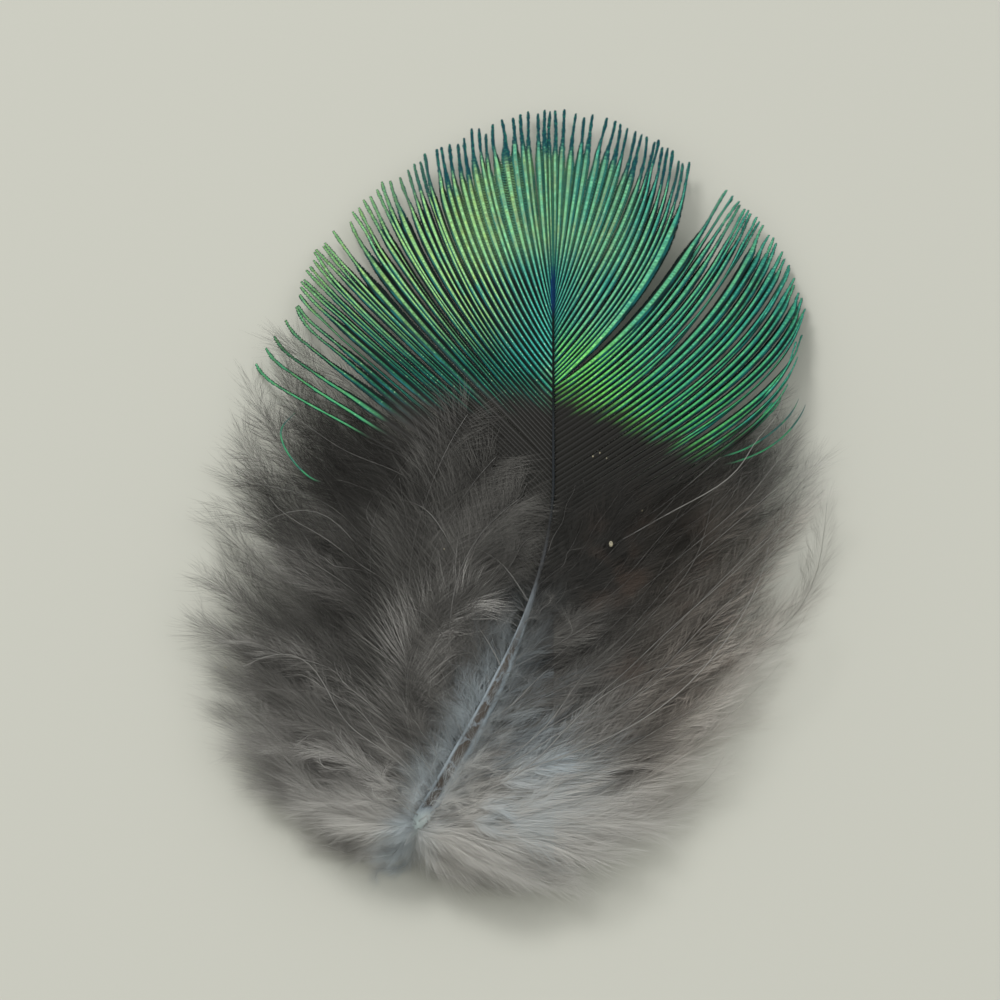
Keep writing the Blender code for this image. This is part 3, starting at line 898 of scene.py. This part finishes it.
def growBarbules(rng, part, t, way, base, reach):
    # one row of barbules, each bent once: its root, the two sides of its bend and its tip
    count = len(t)
    clump = part["clump"]
    run = unit(np.gradient(base, axis=1))
    out = unit(np.cross(run, (0, 0, 1))) * way
    over = np.cross(out, run) * -way
    stem = t * reach
    fullness = np.clip(reach / part["fullReach"], part["leastFull"], 1)
    tilt = knotted(rng, count, stem, clump, 1.0)
    lean = knotted(rng, count, stem, clump * part["leanClump"], 1.0)
    long = 1 + knotted(rng, count, stem, clump, part["longClump"])
    long = long + rng.normal(0, part["longVaries"], t.shape)
    ends = np.interp(t, part["endsAt"], part["ends"])
    length = (part["length"] * long * ends * fullness)[..., None]
    spread = part["spread"] + lean * part["lean"] + rng.normal(0, part["spreadVaries"], t.shape)
    spread = np.radians(spread)[..., None]
    rise = tilt * part["rise"] - part["hang"] + rng.normal(0, part["scatter"], t.shape)
    rise = np.radians(rise)[..., None]
    aside = out * np.cos(rise) + over * np.sin(rise)
    first = run * np.cos(spread) + aside * np.sin(spread)
    later = spread * part["straight"]
    second = run * np.cos(later) + aside * np.sin(later)
    drift = knotted(rng, count, stem, clump * part["driftClump"], part["drift"])[..., None]
    middle = base + first * length * 0.5 + run * drift * 0.3
    tip = middle + second * length * 0.5 + run * drift * 0.7
    tip = tip + rng.normal(0, part["tipVaries"], tip.shape)
    tip[..., 2] -= part["sag"] * length[..., 0]
    roll = rng.uniform(-1.0, 1.0, t.shape)[..., None]
    wide = unit(np.cross(first, over)) * np.cos(roll) + over * np.sin(roll)
    thin = np.interp(t, (0, 0.5, 1), part["thinning"]) * fullness
    wide = wide * (part["width"] / 2 * thin)[..., None]
    points = np.stack((base, middle - wide, middle + wide, tip), axis=2)
    points[..., 2] = np.clip(points[..., 2], part["floor"], part["ceiling"])
    return points


def makeDown(name, seed, material):
    rng = np.random.default_rng(seed)
    part = down | downPieces[name]
    count, strips, sides = part["barbs"], part["strips"], part["stemSides"]
    stemsAt = plantBarbs(rng, part)
    centre = ((np.arange(count) + 0.5) / strips)[:, None, None]

    # the stems, tapered
    shares = np.broadcast_to(np.linspace(0, 1, part["stations"]), (count, part["stations"]))
    stems = stemsAt(shares)
    radii = part["stemRadius"] * (1 - part["stemTaper"] * shares)
    tube = tubesAlong(stems, radii, sides, start=math.pi / 2)
    u = centre + np.linspace(-1, 1, sides + 1) * part["stemOnMap"] / strips
    v = mapLow + mapSpan * shares[..., None]
    parts = [(tube, gridFaces(*tube.shape[:3]), mapSpots(u, v, tube.shape[:3]))]

    # the barbules, in two rows
    rows = part["barbules"]
    evenly = (np.arange(rows) + rng.uniform(0.1, 0.9, (2, count, rows))) / rows
    evenly = evenly + part["sparser"] * (2 - np.sqrt(4 - 3 * evenly) - evenly)
    places = part["endsAt"][0] + (1 - part["endsAt"][0]) * evenly
    reach = np.linalg.norm(stems[:, -1] - stems[:, 0], axis=1)[:, None]
    one = np.array(((0, 2, 1), (1, 2, 3)))
    faces = (one[None] + (np.arange(count * rows) * 4)[:, None, None]).reshape(-1, 3)
    for way, t in zip((-1, 1), places):
        points = growBarbules(rng, part, t, way, stemsAt(t), reach)
        u = centre + way * np.array(part["onMap"]) / strips
        v = mapLow + mapSpan * (t[..., None] + np.array((0, -1, 1, 0)) * stripHalf / rows)
        spots = mapSpots(u, np.clip(v, mapEdge, 1 - mapEdge), points.shape[:3])
        parts.append((points, faces, spots))
    makePiece(name, parts, material)


downLook = {
    "dark": (0.03, 0.029, 0.0265),
    "middle": (0.17, 0.166, 0.156),
    "light": (0.62, 0.61, 0.585),
    "pale": (0.56, 0.64, 0.69),
    "stain": (0.13, 0.092, 0.072),
    "neutral": (1.0, 1.0, 1.0),
    "warm": (1.0, 0.91, 0.84),
    "stem": (0.44, 0.435, 0.425),
    "cloud": (0.14, 3.0),  # noise: scale, detail, stretch
    "streak": (16.0, 3.0, (5.0, 1.0, 1.0)),
    "stains": (0.30, 2.0),
    # how much lighter or darker it is in a place, and the soft steps that bound the place; the rows
    # marked so are painted shade and painted light
    "levels": (
        (0.64, ("y", 5.0, -18.0)),  # towards the quill
        (0.45, ("v", 0.3, 1.0)),  # painted light towards the loose ends, where light shines through
        (0.75, ("y", -18.5, -28.5)),  # painted light round the quill's end, most on its right, lifting the shadowed lower layers
        (0.55, ("y", -18.5, -28.5), ("x", -12.0, -6.0)),
        (1.00, ("rim", 14.0, 20.5)),  # the right outer rim, with painted light where light shines through its thin ends
        (-0.20, ("y", 2.0, 8.0)),  # painted shade under the fan
        # painted shade beside the fan's lower left edge
        (-0.30, ("x", -11.0, -15.0), ("y", -1.0, 6.0)),
        # painted shade under the fan's lower right, beside the shaft
        (-0.35, ("y", -6.0, 1.0), ("x", -0.5, 1.0), ("x", 12.0, 7.0)),
        (-0.12, ("y", -20.0, -10.0), ("x", 14.0, 8.0), ("x", -20.0, -12.0)),  # the middle
        (-0.14, ("y", -24.0, -15.0), ("x", 2.0, 7.0), ("rim", 17.0, 14.0)),
        (0.22, ("y", -12.0, -4.0), ("y", 9.5, 4.0), ("x", 1.0, -2.0), ("x", -13.0, -8.0)),  # the crest
    ),
    "calmOver": (-13.0, -20.0),  # y between which the patches grow calmer
    "stainPlace": (("x", 0.0, 5.0), ("y", -19.0, -12.0), ("y", 3.0, -4.0)),
    "warmPlace": (("x", 2.0, 9.0), ("y", -27.0, -15.0), ("y", 8.0, 0.0)),
    "paleOver": (-5.0, -17.0),  # y between which the fluff grows pale
    "tuftX": -0.6,
    "tuftY": -21.0,
}


def makeDownMaterial(name, lift, stem, paleness):
    # lift makes it lighter, stem is how much of the stems' own colour shows, and paleness that of tufts
    constants = {"Roughness": 0.65, "Specular IOR Level": 0.25}
    material, shader, place, onMap = newMaterial(name, constants)
    x, y, _ = parted(place)
    u, v, _ = parted(onMap)
    wide = u * down["strips"]
    off = abs(wide.math("FRACT") - 0.5) * 2
    luck = (wide.math("FLOOR") + x.math("SIGN") * otherSide).luck()
    cloud = place.noise(*downLook["cloud"])
    streak = onMap.noise(*downLook["streak"])
    rim = x * 0.9 - y.math("MINIMUM", 0.0) * 0.45
    wires = {"x": x, "y": y, "v": v, "rim": rim}
    # darkest under the fan, where shade is painted, lighter towards the quill, and lighter with painted
    # light at the loose ends, round the quill's end and at the right outer rim
    uneven = cloud.swing(0.8) + luck.swing(0.6) + streak.swing(0.8)
    light = levels(wires, downLook["levels"]) + lift
    light = light + uneven * (1 - y.rise(*downLook["calmOver"]) * 0.7)
    colour = light.rise(0.10, 0.90).tint(downLook["dark"], downLook["middle"])
    colour = light.rise(0.80, 1.50).tint(colour, downLook["light"])
    # brown stains and a warm tint on the right
    stain = place.noise(*downLook["stains"]).rise(0.50, 0.68) * inPlace(wires, downLook["stainPlace"])
    colour = (stain * 0.45).tint(colour, downLook["stain"])
    warm = inPlace(wires, downLook["warmPlace"]) * (0.3 + rim.rise(19.5, 15.0) * 0.5)
    colour = colour.times(warm.tint(downLook["neutral"], downLook["warm"]))
    # pale fluff beside the quill, and pale tufts a little right of it
    lean = ((form["straightFrom"] - y) / (form["straightFrom"] - form["quillEnd"])).math("MAXIMUM", 0.0)
    beside = x + lean ** form["leanPower"] * form["quillLean"]
    pale = (abs(beside) + cloud.swing(2.0) + luck.swing(2.4) + streak.swing(5.0)).rise(3.2, 0.2)
    pale = pale * y.rise(*downLook["paleOver"]) * (0.9 - beside.rise(0.0, 0.6) * 0.45)
    tuft = ((x - downLook["tuftX"]) ** 2 * 0.09 + (y - downLook["tuftY"]) ** 2 * 0.04) ** 0.5
    tuft = (tuft + luck.swing(1.3) + streak.swing(4.0)).rise(1.10, 0.50) * 0.6
    pale = pale.math("MAXIMUM", tuft).math("MAXIMUM", v.rise(0.3, 0.7) * paleness)
    colour = (pale * (0.45 + streak * 0.7)).tint(colour, downLook["pale"])
    colour = (off.rise(0.09, 0.06) * (stem + luck * 0.4)).tint(colour, downLook["stem"])
    feed(shader, "Base Color", colour)
    return material


# barbs that have come loose and lie curled on the down: points of each in plan and height
stray = {
    "strands": (
        ((-17.1, 4.2, 4.8), (-18.8, 5.6, 4.8), (-19.9, 7.7, 4.8), (-19.9, 9.2, 4.8), (-19.0, 10.4, 4.8)),
        ((12.1, 6.1, 5.3), (14.6, 7.6, 4.6), (16.4, 9.6, 3.9), (17.5, 11.4, 3.3), (18.1, 13.0, 2.9)),
        ((12.6, 5.6, 5.0), (15.2, 7.2, 4.3), (17.0, 9.2, 3.6), (18.1, 11.2, 3.0), (18.6, 12.6, 2.7)),
    ),
    "radius": 0.08,
    "taper": (1.0, 0.8, 0.15),  # of that, at its root, at taperAt and at its tip
    "taperAt": 0.7,
    "flat": 0.6,
    "sides": 4,
    "stations": 60,
    "green": (0.03, 0.28, 0.12),
    "teal": (0.012, 0.12, 0.11),
    "brown": (0.03, 0.04, 0.03),
}


def makeStray():
    material, shader, place, onMap = newMaterial("loose_barb", {"Roughness": 0.4, "Metallic": 0.3})
    along = parted(onMap)[1]
    colour = (place.noise(1.2) + along * 0.3).rise(0.55, 0.75).tint(stray["green"], stray["teal"])
    colour = along.rise(0.16, 0.02).tint(colour, stray["brown"])
    feed(shader, "Base Color", colour)
    parts = []
    t = np.linspace(0, 1, stray["stations"])
    radii = stray["radius"] * np.interp(t, (0, stray["taperAt"], 1), stray["taper"])
    for i, strand in enumerate(stray["strands"]):
        at = np.linspace(0, 1, len(strand))
        fits = [np.polynomial.Polynomial.fit(at, column, len(strand) - 1) for column in zip(*strand)]
        line = np.stack([fit(t) for fit in fits], axis=1)
        points = tubesAlong(line, radii, stray["sides"], flat=stray["flat"])
        size = points.shape[:2]
        u = (i + np.linspace(0.1, 0.9, size[1])) / len(stray["strands"])
        v = mapLow + mapSpan * t[:, None]
        parts.append((points, gridFaces(1, *size), mapSpots(u, v, size)))
    makePiece("loose_barbs", parts, material)


# a pale fleck and a few small specks of dust on the down: place in the plan, height, size in mm
flecks = {
    "places": (
        (4.2, -3.4, 7.7, 0.27),
        (2.9, 4.3, 7.9, 0.09),
        (3.4, 4.6, 7.9, 0.08),
        (3.9, 4.2, 7.8, 0.08),
        (6.5, -0.2, 7.4, 0.07),
        (-24.0, -11.4, 3.4, 0.10),
        (-8.0, -4.2, 8.2, 0.07),
    ),
    "shape": (0.6, 1.0, 0.5),
    "steps": 6,
    "colour": (0.50, 0.45, 0.30),
    "shade": (0.32, 0.30, 0.23),
}


def makeFlecks():
    material, shader, place, _ = newMaterial("fleck", {"Roughness": 0.6})
    feed(shader, "Base Color", place.noise(4.0).rise(0.35, 0.65).tint(flecks["colour"], flecks["shade"]))
    size = (flecks["steps"], flecks["steps"] + 1)
    turn = np.linspace(0, 2 * math.pi, size[1])
    tilt = np.linspace(-0.45, 0.45, size[0])[:, None] * math.pi
    ball = (np.cos(tilt) * np.cos(turn), np.cos(tilt) * np.sin(turn), np.broadcast_to(np.sin(tilt), size))
    ball = np.stack(ball, axis=-1) * flecks["shape"]
    parts = []
    for i, (*centre, radius) in enumerate(flecks["places"]):
        points = np.array(centre) + ball * radius
        u = (i + np.linspace(0.1, 0.9, size[1])) / len(flecks["places"])
        v = np.linspace(0.05, 0.95, size[0])[:, None]
        parts.append((points, gridFaces(1, *size), mapSpots(u, v, size)))
    makePiece("flecks", parts, material)


print("shaft")
makeShaft()
print("vanes")
fanMaterial = makeFanMaterial()
makeVane("left_vane", leftVaneLines, -1, 10, fanMaterial)
makeVane("right_vane", rightVaneLines, 1, 12, fanMaterial)
print("down")
looks = {
    "plumes": makeDownMaterial("plumes", 0.30, 0.9, 0.0),
    "tufts": makeDownMaterial("tufts", 0.5, 0.5, 1.1),
    "down": makeDownMaterial("down", 0.0, 0.3, 0.0),
}
for i, name in enumerate(downPieces):
    makeDown(name, 21 + i, looks.get(name.split("_")[-1], looks["down"]))
print("loose barbs and flecks")
makeStray()
makeFlecks()

# floor, light and camera
studio = {
    "floor": 3.0,
    "floorColour": (0.60, 0.605, 0.55),
    "worldColour": (0.60, 0.60, 0.57),
    "worldStrength": 0.9,
    "elevation": 55.0,
    "lens": 900.0,
    "frameHeight": 0.0735,
    "aim": (-0.0002, -0.0004, 0.0030),
    "lamps": (  # place in m, size in m, watts, colour
        ((-0.35, 0.45, 0.70), 0.35, 3.4, (1.0, 0.99, 0.97)),
        ((0.55, -0.25, 0.60), 0.60, 1.0, (0.97, 0.98, 1.0)),
        ((-0.30, -0.60, 0.50), 0.60, 0.6, (1.0, 0.98, 0.95)),
    ),
}


def makeFloor():
    half = studio["floor"] / 2
    mesh = bpy.data.meshes.new("floor")
    corners = [(-half, -half, 0), (half, -half, 0), (half, half, 0), (-half, half, 0)]
    mesh.from_pydata(corners, [], [(0, 1, 2, 3)])
    constants = {"Roughness": 0.9, "Specular IOR Level": 0.1}
    material = newMaterial("floor", constants | {"Base Color": asColour(studio["floorColour"])})[0]
    mesh.materials.append(material)
    floor = newObject("floor", mesh)


def makeLight():
    world = bpy.data.worlds.new("studio")
    world.use_nodes = True
    back = world.node_tree.nodes["Background"]
    back.inputs["Color"].default_value = asColour(studio["worldColour"])
    back.inputs["Strength"].default_value = studio["worldStrength"]
    bpy.context.scene.world = world
    bpy.context.scene.view_settings.view_transform = "Standard"
    for i, (place, size, power, colour) in enumerate(studio["lamps"]):
        lamp = bpy.data.lights.new(f"lamp{i}", "AREA")
        lamp.shape = "DISK"
        lamp.size = size
        lamp.energy = power
        lamp.color = colour
        holder = newObject(f"lamp{i}", lamp)
        holder.location = place
        holder.rotation_euler = (-Vector(place)).to_track_quat("-Z", "Y").to_euler()


def makeCamera():
    lens = bpy.data.cameras.new("camera")
    lens.lens = studio["lens"]
    lens.sensor_width = 36.0
    lens.clip_start = 0.01
    angle = math.radians(studio["elevation"])
    back = Vector((0, -math.cos(angle), math.sin(angle)))
    camera = newObject("camera", lens)
    away = studio["frameHeight"] * studio["lens"] / lens.sensor_width
    camera.location = Vector(studio["aim"]) + back * away
    camera.rotation_euler = (-back).to_track_quat("-Z", "Y").to_euler()
    bpy.context.scene.camera = camera


print("studio")
makeFloor()
makeLight()
makeCamera()
